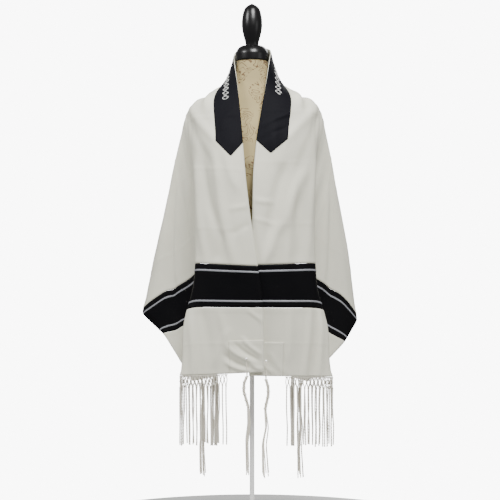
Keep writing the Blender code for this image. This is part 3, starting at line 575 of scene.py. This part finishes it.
def sheet_piece(name, us, vs, raised, thick, material, keep=None):
    """A cloth shell over a fine grid of flat positions, with a UV map in metres of the flat cloth."""
    u, v = np.meshgrid(us, vs, indexing="ij")
    if keep is not None:
        u, v = keep(u, v)
    middle = cloth(u, v)
    away = outward(u, v)
    middle = middle + away * relief(u, v)[..., None]
    rows, columns = u.shape
    outer = (middle + away * (raised + thick)).reshape(-1, 3)
    inner = (middle + away * raised).reshape(-1, 3)
    index = np.arange(rows * columns).reshape(rows, columns)
    a, b = index[:-1, :-1].ravel(), index[1:, :-1].ravel()
    c, d = index[1:, 1:].ravel(), index[:-1, 1:].ravel()
    count = rows * columns
    top = np.stack([a, b, c, d], axis=1)
    bottom = np.stack([d, c, b, a], axis=1) + count
    rim = np.concatenate([index[:, 0], index[-1, 1:], index[-2::-1, -1], index[0, -2:0:-1]])
    following = np.roll(rim, -1)
    walls = np.stack([following, rim, rim + count, following + count], axis=1)
    faces = np.vstack([top, bottom, walls])
    mesh = bpy.data.meshes.new(name)
    mesh.from_pydata(np.vstack([outer, inner]).tolist(), [], faces.tolist())
    flat = np.tile(np.stack([u.ravel(), v.ravel()], axis=1), (2, 1))
    layer = mesh.uv_layers.new(name="flat_metres")
    layer.data.foreach_set("uv", flat[faces.ravel()].ravel().astype(np.float32))
    mesh.polygons.foreach_set("use_smooth", [True] * len(faces))
    mesh.materials.append(material)
    thing = bpy.data.objects.new(name, mesh)
    bpy.context.scene.collection.objects.link(thing)
    return thing


def spread(low, high, step):
    """Even positions from low to high, about a step apart."""
    return np.linspace(low, high, max(2, int(round(abs(high - low) / step)) + 1))


# A wave texture repeats every 0.314 over its scale.
WAVE_PERIOD = 0.314


def woven(name, code, roughness, pitch, strength, sheen=0.0, tint=0.94, gloss=0.3):
    """A woven cloth: a twill of the given pitch in metres, and a tone that goes down to tint of its colour."""
    material = finish_of(name, code, roughness, Sheen_Weight=sheen, Sheen_Roughness=0.4,
                         Specular_IOR_Level=gloss)
    place = add(material, "ShaderNodeUVMap", {"uv_map": "flat_metres"})
    on_cloth = [(place, "UV", "Vector")]
    twill_settings = {"wave_type": "BANDS", "bands_direction": "DIAGONAL", "Scale": WAVE_PERIOD / pitch,
                      "Distortion": 1.5, "Detail": 2.0, "Detail Scale": 3.0}
    twill = add(material, "ShaderNodeTexWave", twill_settings, on_cloth)
    bump_from(material, twill, "Fac", strength, 0.0003)
    tone = add(material, "ShaderNodeTexNoise", {"Scale": 38.0, "Detail": 6.0, "Roughness": 0.62}, on_cloth)
    colours = add(material, "ShaderNodeMix", {"data_type": "RGBA"}, [(tone, "Fac", "Factor")])
    base = linear(code)
    colours.inputs[6].default_value = tuple(c * tint for c in base[:3]) + (1.0,)
    colours.inputs[7].default_value = base
    shader = material.node_tree.nodes["Principled BSDF"]
    material.node_tree.links.new(colours.outputs[2], shader.inputs["Base Color"])
    return material


# White wool-like twill: off-white, soft and matt with a faint nap. The 0.5 mm thread is drawn at
# 0.9 mm so that it shows.
white_cloth = woven("white_cloth", "E8E6D4", 0.66, 0.0009, 0.25, sheen=0.08)

# Spacing of the shell's points in the flat cloth.
FINE = 0.0055
main_us = spread(-BAND_START + SEAM_GAP / 2, BAND_START - SEAM_GAP / 2, FINE)
main = sheet_piece("main_cloth_draped", main_us, spread(0.0, WIDTH, FINE), -CLOTH / 2, CLOTH, white_cloth)
stands_for(main, "white_cloth", "main_cloth")

# Shawl: black bands, ribbons and white ends.
# A black satin band is seamed to each end of the main cloth and a white end to the band. Two narrow
# ribbons of silver thread run along each band, one near either seam.

# Black satin, smooth and low in gloss, its 0.6 mm ribs just seen close to.
black_satin = woven("black_band_cloth", "08070A", 0.50, 0.0006, 0.15, tint=0.7, gloss=0.10)
# Ribbon woven of silver thread: half metallic, cool grey, with a 1.2 mm rib.
silver = woven("silver_ribbon", "A2A3A9", 0.42, 0.0012, 0.5, tint=0.75)
silver.node_tree.nodes["Principled BSDF"].inputs["Metallic"].default_value = 0.35

LAY_GAP = 0.0004
RIBBON_WIDTH = 0.007
RIBBON_SELVEDGE = 0.0008
RIBBON_THICK = 0.0006
RIBBON_FROM_EDGE = 0.016
UPPER_RIBBON = BAND_START + RIBBON_FROM_EDGE
LOWER_RIBBON = BAND_END - RIBBON_FROM_EDGE - RIBBON_WIDTH
sheets = {"main": main}
for side, sign in (("left", -1.0), ("right", 1.0)):
    band_us = np.sort(sign * spread(BAND_START + SEAM_GAP / 2, BAND_END - SEAM_GAP / 2, FINE * 0.8))
    across = spread(0.0, WIDTH, FINE)
    band = sheet_piece("band_draped_" + side, band_us, across, -CLOTH / 2, CLOTH, black_satin)
    sheets["band_" + side] = stands_for(band, "black_band_cloth", "band_" + side)
    end_us = np.sort(sign * spread(BAND_END + SEAM_GAP / 2, HALF_LENGTH, FINE * 0.8))
    end = sheet_piece("end_draped_" + side, end_us, across, -CLOTH / 2, CLOTH, white_cloth)
    sheets["end_" + side] = stands_for(end, "white_cloth", "end_" + side)
    for edge_name, start in (("upper", UPPER_RIBBON), ("lower", LOWER_RIBBON)):
        first_u, last_u = start + RIBBON_SELVEDGE, start + RIBBON_WIDTH - RIBBON_SELVEDGE
        ribbon_us = np.sort(sign * np.linspace(first_u, last_u, 4))
        name = "ribbon_" + edge_name + "_" + side
        ribbon = sheet_piece(name + "_woven", ribbon_us, across, CLOTH / 2 + LAY_GAP, RIBBON_THICK, silver)
        sheets[name] = stands_for(ribbon, "silver_ribbon", name)

# Shawl: neckband.
# A navy band sewn along the neck edge, pointed at both ends, embroidered in pale thread between the
# nape and the collar bones. The embroidery is a plain repeating pattern.


def tubes(paths, radii, sides=5):
    """Points and faces of many round threads; each path is an array of positions."""
    points, faces, start = [], [], 0
    turn = 2 * math.pi * np.arange(sides) / sides
    for path, radius in zip(paths, radii):
        path = np.asarray(path, float)
        heading = np.gradient(path, axis=0)
        heading /= np.linalg.norm(heading, axis=1, keepdims=True)
        guide = np.array([1.0, 0.0, 0.0]) if abs(heading[0][0]) < 0.8 else np.array([0.0, 1.0, 0.0])
        first = np.empty_like(path)
        for i, way in enumerate(heading):
            guide = guide - way * guide.dot(way)
            guide = guide / np.linalg.norm(guide)
            first[i] = guide
        second = np.cross(heading, first)
        wide = np.broadcast_to(np.asarray(radius, float), (len(path),))[:, None, None]
        round_it = first[:, None] * np.cos(turn)[None, :, None] + second[:, None] * np.sin(turn)[None, :, None]
        points.append((path[:, None] + wide * round_it).reshape(-1, 3))
        count = len(path)
        index = start + np.arange(count * sides).reshape(count, sides)
        following = np.roll(index, -1, axis=1)
        around = np.stack([index[:-1], following[:-1], following[1:], index[1:]], axis=-1)
        faces.extend(around.reshape(-1, 4).tolist())
        faces.append(index[0][::-1].tolist())
        faces.append(index[-1].tolist())
        start += count * sides
    return np.vstack(points), faces


def laid(u, v, raised):
    """Positions lying on the draped cloth, raised off its middle surface."""
    u, v = np.asarray(u, float), np.asarray(v, float)
    return cloth(u, v) + outward(u, v) * (relief(u, v) + raised)[:, None]


def stitches(name, lines, raised, material, slot_name, pitch=0.0042, radius=0.00032):
    """Rows of short stitches along lines (lists of corners) in the flat cloth."""
    us, vs = [], []
    for corners in lines:
        corners = np.asarray(corners, float)
        lengths = np.concatenate([[0], np.cumsum(np.linalg.norm(np.diff(corners, axis=0), axis=1))])
        for start in np.arange(pitch * 0.3, lengths[-1] - pitch * 0.7, pitch):
            at = start + pitch * np.array([0.0, 0.33, 0.66])
            us.extend(np.interp(at, lengths, corners[:, 0]))
            vs.extend(np.interp(at, lengths, corners[:, 1]))
    places = laid(us, vs, raised + radius * 0.5).reshape(-1, 3, 3)
    sunk = outward(us, vs).reshape(-1, 3, 3)
    places[:, 0] -= sunk[:, 0] * radius * 1.2
    places[:, 2] -= sunk[:, 2] * radius * 1.2
    points, faces = tubes(places, [radius] * len(places), sides=4)
    return stands_for(mesh_piece(name, points, faces, material), slot_name)


TRIM = 0.0012
NECKBAND_WIDTH = 0.085
# Half length of the neckband to its shoulders, and to its points.
NECKBAND_SIDE = 0.332
NECKBAND_TIP = 0.372

# Navy cloth, tightly woven and matt, nearly black in the light.
navy = woven("navy_neckband_cloth", "090910", 0.70, 0.0008, 0.3, sheen=0.02, tint=0.75, gloss=0.12)


def pointed(u, v):
    """Draws a rectangle's ends out to the points of the neckband."""
    tip = NECKBAND_TIP - (NECKBAND_TIP - NECKBAND_SIDE) * np.abs(2 * v / NECKBAND_WIDTH - 1)
    return u * tip / NECKBAND_TIP, v


neckband_us, neckband_vs = spread(-NECKBAND_TIP, NECKBAND_TIP, 0.004), spread(0.0, NECKBAND_WIDTH, 0.004)
neckband = sheet_piece("neckband_draped", neckband_us, neckband_vs, CLOTH / 2 + LAY_GAP, TRIM, navy,
                       keep=pointed)
sheets["neckband"] = stands_for(neckband, "navy_neckband_cloth", "neckband")

# Stitched down in navy thread just inside every edge, from one point round to the other.
ON_NECKBAND = CLOTH / 2 + LAY_GAP + TRIM
STITCH_IN = 0.003
point_in = NECKBAND_TIP - STITCH_IN * 1.3
neckband_edge = [(-point_in, NECKBAND_WIDTH / 2), (-NECKBAND_SIDE, STITCH_IN), (NECKBAND_SIDE, STITCH_IN),
                 (point_in, NECKBAND_WIDTH / 2), (NECKBAND_SIDE, NECKBAND_WIDTH - STITCH_IN),
                 (-NECKBAND_SIDE, NECKBAND_WIDTH - STITCH_IN), (-point_in, NECKBAND_WIDTH / 2)]
# Navy sewing thread, matt.
navy_thread = finish_of("navy_thread", "191A26", 0.6, Specular_IOR_Level=0.15)
stitches("stitching_neckband", [neckband_edge], ON_NECKBAND, navy_thread, "navy_neckband_cloth")

# A plain row of lozenges embroidered in pale thread along the upper neckband, leaning to and fro.
MOTIF_PITCH = 0.0150
MOTIF_END = 0.210
MOTIF_HALF_WIDTH = 0.0048
MOTIF_HALF_HEIGHT = 0.0105
MOTIF_MIDDLE_V = 0.045
MOTIF_LEAN = 0.0012
motif_paths = []
for i, middle in enumerate(np.arange(-MOTIF_END, MOTIF_END, MOTIF_PITCH)):
    turn = np.linspace(0, 2 * math.pi, 13)
    lean = MOTIF_LEAN if i % 2 else -MOTIF_LEAN
    wide = MOTIF_HALF_WIDTH * np.sign(np.cos(turn)) * np.abs(np.cos(turn)) ** 1.5
    tall = MOTIF_HALF_HEIGHT * np.sign(np.sin(turn)) * np.abs(np.sin(turn)) ** 1.5
    motif_paths.append((middle + wide + lean * tall / MOTIF_HALF_HEIGHT, MOTIF_MIDDLE_V + tall))
    bar_u = middle + MOTIF_PITCH / 2 + np.linspace(-MOTIF_LEAN, MOTIF_LEAN, 5)
    motif_paths.append((bar_u, np.linspace(0.0425, 0.0515, 5)))
motif_us = np.concatenate([path[0] for path in motif_paths])
motif_vs = np.concatenate([path[1] for path in motif_paths])
motif_ends = np.cumsum([len(path[0]) for path in motif_paths])
motif_places = np.split(laid(motif_us, motif_vs, ON_NECKBAND + 0.0003), motif_ends[:-1])
# Pale embroidery thread, with a little gloss.
pale_thread = finish_of("pale_embroidery_thread", "E6E6E2", 0.5)
points, faces = tubes(motif_places, [0.0009] * len(motif_places), sides=5)
stands_for(mesh_piece("embroidery_neckband", points, faces, pale_thread), "silver_ribbon")

# Shawl: corner patches.
# A square of the same white cloth is sewn on each corner to strengthen it round the eyelet.

PATCH = 0.10
EYELET_U = HALF_LENGTH - 0.045
EYELET_V = 0.05
EYELET_RADIUS = 0.0016
RING_RADIUS = 0.0028
rings_at, patch_lines = [], []
for side, sign in (("left", -1.0), ("right", 1.0)):
    patch_us = np.sort(sign * spread(HALF_LENGTH - PATCH, HALF_LENGTH, 0.004))
    for place, low in (("front", 0.0), ("back", WIDTH - PATCH)):
        name = "patch_" + place + "_" + side
        patch_vs = spread(low, low + PATCH, 0.004)
        patch = sheet_piece(name + "_sewn", patch_us, patch_vs, CLOTH / 2 + LAY_GAP, TRIM, white_cloth)
        sheets[name] = stands_for(patch, "white_cloth", name)
        eyelet = (sign * EYELET_U, low + EYELET_V)
        hole = laid([eyelet[0]], [eyelet[1]], 0.0)[0]
        punch_way = Vector(outward([eyelet[0]], [eyelet[1]])[0])
        bpy.ops.mesh.primitive_cylinder_add(vertices=24, radius=EYELET_RADIUS, depth=0.012, location=hole)
        punch = bpy.context.object
        punch.rotation_euler = punch_way.to_track_quat("Z", "Y").to_euler()
        for target in (sheets[name], sheets["end_" + side]):
            cut = target.modifiers.new("eyelet", "BOOLEAN")
            cut.operation = "DIFFERENCE"
            cut.solver = "EXACT"
            cut.object = punch
            bpy.context.view_layer.objects.active = target
            bpy.ops.object.modifier_apply(modifier="eyelet")
        bpy.data.objects.remove(punch)
        round_it = np.linspace(0, 2 * math.pi, 41)
        ring_u, ring_v = eyelet[0] + RING_RADIUS * np.cos(round_it), eyelet[1] + RING_RADIUS * np.sin(round_it)
        for lift in (CLOTH / 2 + LAY_GAP + TRIM, -CLOTH / 2):
            rings_at.append(laid(ring_u, ring_v, lift))
        inside = sign * (HALF_LENGTH - PATCH + STITCH_IN)
        outside = sign * (HALF_LENGTH - STITCH_IN)
        near_v, far_v = low + STITCH_IN, low + PATCH - STITCH_IN
        patch_lines.append([(inside, near_v), (inside, far_v), (outside, far_v), (outside, near_v),
                            (inside, near_v)])

# Overcast rings round the eyelets, on both sides, and a stitched line inside each patch's edge, in
# matt white cotton thread.
white_thread = finish_of("white_thread", "DAD8D2", 0.7)
points, faces = tubes(rings_at, [0.0009] * len(rings_at), sides=6)
stands_for(mesh_piece("eyelet_rings", points, faces, white_thread), "white_cloth")
stitches("stitching_patches", patch_lines, CLOTH / 2 + LAY_GAP + TRIM, white_thread, "white_cloth")

# The hems, stitched in the same thread.
hem_lines = []
for v in (HEM, WIDTH - HEM):
    hem_lines.append([(-BAND_START + 0.004, v), (BAND_START - 0.004, v)])
for sign in (-1.0, 1.0):
    for v in (HEM, WIDTH - HEM):
        start_u = HALF_LENGTH - PATCH - 0.004
        hem_lines.append([(sign * (BAND_END + 0.004), v), (sign * start_u, v)])
    end_u = sign * (HALF_LENGTH - HEM)
    hem_lines.append([(end_u, PATCH + 0.004), (end_u, WIDTH - PATCH - 0.004)])
stitches("stitching_hems", hem_lines, CLOTH / 2, white_thread, "white_cloth", pitch=0.005, radius=0.00028)

# Shawl: knotted fringe.
# The fringe's threads come out of the hem in pairs, cross a little below it, are knotted at the
# crossings and again below, and hang as loose twisted strands. White like the shawl.

# Twisted white rayon thread, soft and matt. Real threads are 1 to 2 mm thick, and two plies of 2.8 mm
# are drawn for a strand so that it shows.
fringe_thread = finish_of("white_fringe_thread", "E2DDD0", 0.85, Sheen_Weight=0.1)


def twisted(path, radius, ply_radius, turns):
    """Two plies wound round a path."""
    path = np.asarray(path, float)
    t = np.linspace(0, 1, len(path))
    heading = np.gradient(path, axis=0)
    heading /= np.linalg.norm(heading, axis=1, keepdims=True)
    first = np.cross(heading, [0.0, 1.0, 0.0])
    first /= np.linalg.norm(first, axis=1, keepdims=True)
    second = np.cross(heading, first)
    plies = []
    for phase in (0.0, math.pi):
        angle = 2 * math.pi * turns * t + phase
        plies.append(path + radius * (first * np.cos(angle)[:, None] + second * np.sin(angle)[:, None]))
    return plies, [ply_radius, ply_radius]


def curve_through(stops, count):
    """A smooth path through a few stops."""
    stops = np.asarray(stops, float)
    knots = np.concatenate([[0], np.cumsum(np.linalg.norm(np.diff(stops, axis=0), axis=1))])
    at = np.linspace(0, knots[-1], count)
    rough = np.stack([np.interp(at, knots, stops[:, k]) for k in range(3)], axis=1)
    for _ in range(max(1, count // 6)):
        rough[1:-1] = (rough[:-2] + 2 * rough[1:-1] + rough[2:]) / 4
    return rough


def knot(centre, size, facing):
    """A small knot: a thread wound twice round itself."""
    side = np.cross(facing, [0, 0, 1.0])
    side /= np.linalg.norm(side)
    t = np.linspace(0, 1, 15)
    angle = 2 * math.pi * 2.0 * t
    turns = side * np.cos(angle)[:, None] + np.asarray(facing) * np.sin(angle)[:, None]
    return centre + size * turns + np.array([0, 0, 1.0]) * (size * 0.9 * (0.5 - t))[:, None]


FRINGE_START = 0.106
FRINGE_END = 0.454
FRINGE_COLUMNS = 33
# Depth below the hem of the crossings and of the lower knots, and the whole length.
CROSSING_DROP = 0.017
KNOT_DROP = 0.034
FRINGE_LENGTH = 0.198
for side, sign in (("left", -1.0), ("right", 1.0)):
    paths, radii = [], []
    rng = np.random.default_rng(7 if side == "left" else 11)
    pitch = (FRINGE_END - FRINGE_START) / FRINGE_COLUMNS

    hem_v = np.linspace(0.0, WIDTH, 281)
    hem_u = np.full_like(hem_v, sign * HALF_LENGTH)
    hem_out = outward(hem_u, hem_v)
    hem_line = cloth(hem_u, hem_v) + hem_out * relief(hem_u, hem_v)[:, None]

    def hang(v, drop, aside=0.0):
        """A place below the hem at v, and the way the cloth faces there."""
        place = np.array([np.interp(v, hem_v, hem_line[:, k]) for k in range(3)])
        facing = np.array([np.interp(v, hem_v, hem_out[:, k]) for k in range(3)])
        facing = facing * np.array([1.0, 1.0, 0.0])
        facing /= np.linalg.norm(facing)
        return place + np.array([0, 0, -drop]) + facing * aside, facing

    header = np.array([hang(v, 0.0022)[0] for v in np.linspace(FRINGE_START, FRINGE_END, 120)])
    paths.append(header)
    radii.append(0.0011)
    for i in range(FRINGE_COLUMNS):
        v = FRINGE_START + pitch * (i + 0.5)
        low = KNOT_DROP + 0.002 * rng.uniform(-1, 1)
        foot, facing = hang(v, low)
        for way in (-1, 1):
            middle_v = v + way * pitch / 2
            if not FRINGE_START < middle_v < FRINGE_END:
                middle_v = v + way * pitch * 0.3
            middle, _ = hang(middle_v, CROSSING_DROP, 0.0006 * way)
            top, _ = hang(v + way * 0.0008, 0.001)
            for offset in (-0.0005, 0.0005):
                shift = np.array([offset, 0, 0])
                paths.append(curve_through([top + shift, middle + shift, foot + shift], 14))
                radii.append(0.0009)
            if way == 1:
                paths.append(knot(middle, 0.0014, facing))
                radii.append(0.0009)
        paths.append(knot(foot, 0.0018, facing))
        radii.append(0.0011)
        length = FRINGE_LENGTH + 0.005 * rng.uniform(-1, 1)
        sway = np.array([rng.uniform(-1, 1), rng.uniform(-1, 1), 0.0]) * 0.0035
        bend = np.array([rng.uniform(-1, 1), rng.uniform(-1, 1), 0.0]) * 0.0016
        end = foot + sway + np.array([0, 0, -(length - low)])
        upper, lower = foot * 0.66 + end * 0.34 + bend, foot * 0.33 + end * 0.67 - bend
        strand = curve_through([foot, upper, lower, end], 60)
        plies, ply_radii = twisted(strand, 0.0012, 0.0014, 20)
        paths.extend(plies)
        radii.extend(ply_radii)
    points, faces = tubes(paths, radii)
    fringe = mesh_piece("fringe_knotted_" + side, points, faces, fringe_thread)
    stands_for(fringe, "white_fringe_thread", "fringe_" + side)

# Shawl: corner tassels.
# A tassel of eight wool strands at each corner: four cords doubled through the eyelet and round the
# hem, wound and knotted five times, then left loose.

# Twisted wool cord, off-white, matt and a little hairy.
tassel_wool = finish_of("tassel_cord", "F0EADB", 0.88, Sheen_Weight=0.15)

# How far each stem leans at its foot and bows out midway, and how far its strands swing, in metres.
TasselRow = namedtuple("TasselRow", "side place lean_x bow_x lean_y swing seed")
TASSELS = [
    TasselRow("left", "front", 0.003, -0.011, 0.000, 0.006, 3),
    TasselRow("right", "front", -0.002, 0.008, 0.000, 0.009, 5),
    TasselRow("left", "back", 0.002, 0.003, 0.001, 0.006, 8),
    TasselRow("right", "back", -0.002, -0.004, 0.001, 0.007, 13),
]
STEM_LENGTH = 0.085
STRAND_LENGTH = 0.185
STRANDS = 8
WINDINGS = 34
KNOTS = 5
# How far the cord's middle stands off the cloth's.
clear = 0.0036
down = np.array([0, 0, -1.0])
for row in TASSELS:
    sign = -1.0 if row.side == "left" else 1.0
    v = EYELET_V if row.place == "front" else WIDTH - EYELET_V
    rng = np.random.default_rng(row.seed)
    at_u, at_v = np.array([sign * EYELET_U, sign * HALF_LENGTH]), np.array([v, v])
    spots = cloth(at_u, at_v)
    facing = outward(at_u, at_v)
    hole, hem, out = spots[0], spots[1], facing[0]
    flat_out = facing[0] * np.array([1.0, 1.0, 0.0])
    flat_out /= np.linalg.norm(flat_out)
    top = hem + down * 0.010
    paths, radii = [], []
    for shift in (-0.0007, 0.0007):
        aside = np.cross(flat_out, down) * shift
        stops = [top + flat_out * 0.0012, hem + flat_out * clear * 1.3 + down * 0.001, hole + out * clear,
                 hole, hole - out * clear, hem - flat_out * clear * 1.3 + down * 0.001, top - flat_out * 0.0012]
        path = curve_through([s + aside for s in stops], 40)
        plies, ply_radii = twisted(path, 0.0006, 0.0008, 12)
        paths.extend(plies)
        radii.extend(ply_radii)
    foot = top + down * STEM_LENGTH + np.array([row.lean_x, row.lean_y, 0.0])
    bowed = np.array([row.bow_x, 0.0, 0.0])
    stem_stops = [top, top * 0.78 + foot * 0.22 + bowed * 0.8, top * 0.5 + foot * 0.5 + bowed, foot]
    stem = curve_through(stem_stops, 60)
    paths.append(stem)
    radii.append(0.0034)
    t = np.linspace(0, 1, 420)
    along_stem = np.linspace(0, 1, len(stem))
    centre = np.stack([np.interp(t, along_stem, stem[:, k]) for k in range(3)], axis=1)
    angle = 2 * math.pi * WINDINGS * t
    reach = 0.0038 + 0.0015 * (np.abs(np.sin(math.pi * KNOTS * t)) < 0.30)
    wound = np.stack([np.cos(angle), np.sin(angle), np.zeros_like(t)], axis=1)
    paths.append(centre + reach[:, None] * wound)
    radii.append(0.0010)
    for s in range(STRANDS):
        turn = 2 * math.pi * (s + 0.3) / STRANDS
        way = np.array([math.cos(turn), math.sin(turn), 0.0])
        length = STRAND_LENGTH + 0.012 * rng.uniform(-1, 1)
        start = foot + way * 0.0022
        bend = np.array([rng.uniform(-1, 1), rng.uniform(-1, 1), 0.0]) * row.swing
        wave = np.array([row.swing * 0.45, 0.0, 0.0])
        end = foot + way * 0.0045 + bend * 0.8 + down * length
        upper = start * 0.72 + end * 0.28 + wave + way * 0.0012
        lower = start * 0.45 + end * 0.55 - wave + way * 0.0008
        strand = curve_through([start, upper, lower, end], 70)
        plies, ply_radii = twisted(strand, 0.0009, 0.0011, 18)
        paths.extend(plies)
        radii.extend(ply_radii)
    points, faces = tubes(paths, radii)
    tassel = mesh_piece("tassel_tied_" + row.place + "_" + row.side, points, faces, tassel_wool)
    stands_for(tassel, "tassel_cord", "tassel_" + row.place + "_" + row.side)

# The ribbons are narrower than a sheet, and the drape squeezes the hidden back corners, with their patches, to
# about half of the cut.

# Floor, light and camera.
# A pale round floor, a pale surround and large soft lights, as in a product studio.

# Matt white studio board.
floor_material = finish_of("studio_floor", "F4F4F3", 0.9)
bpy.ops.mesh.primitive_cylinder_add(vertices=96, radius=0.75, depth=0.01, location=(0, 0, -0.0052))
floor = bpy.context.object
floor.name = "studio_floor"
floor.data.materials.append(floor_material)

# The surround is white to the eye and gives a lower, even light to the piece.
world = bpy.data.worlds.new("studio")
world.use_nodes = True
world_nodes = world.node_tree.nodes
even_light = world_nodes["Background"]
even_light.inputs["Color"].default_value = linear("FFFFFF")
even_light.inputs["Strength"].default_value = 0.30
seen = add(world, "ShaderNodeBackground", {"Color": linear("FFFFFF"), "Strength": 9.0})
ray = add(world, "ShaderNodeLightPath", {})
either = add(world, "ShaderNodeMixShader", {}, [(ray, "Is Camera Ray", 0), (even_light, 0, 1), (seen, 0, 2)])
world.node_tree.links.new(either.outputs[0], world_nodes["World Output"].inputs["Surface"])
bpy.context.scene.world = world


def soft_light(name, place, aim, size, power):
    """A square soft box of a size in metres and a power in watts, aimed at a place."""
    lamp = bpy.data.lights.new(name, "AREA")
    lamp.shape = "SQUARE"
    lamp.size = size
    lamp.energy = power
    thing = bpy.data.objects.new(name, lamp)
    thing.location = place
    thing.rotation_euler = (Vector(aim) - Vector(place)).to_track_quat("-Z", "Y").to_euler()
    bpy.context.scene.collection.objects.link(thing)


soft_light("key_light", (0.4, -1.5, 2.8), (0, 0, 1.15), 0.9, 88.0)
soft_light("left_light", (-2.0, -1.2, 2.6), (0, 0, 1.15), 0.9, 50.0)
soft_light("right_light", (2.6, -1.8, 1.6), (0, 0, 1.0), 1.2, 8.0)
soft_light("back_light", (0.8, 2.6, 2.6), (0, 0, 1.0), 1.4, 36.0)

# The camera stands level, 4 m in front, at mid height. The picture ends above the foot, as the photo does.
camera_data = bpy.data.cameras.new("camera")
camera_data.sensor_width = 36.0
camera_data.lens = 97.6
camera = bpy.data.objects.new("camera", camera_data)
camera.location = (-0.006, -4.0, 0.8555)
camera.rotation_euler = (math.radians(90), 0, 0)
bpy.context.scene.collection.objects.link(camera)
bpy.context.scene.camera = camera
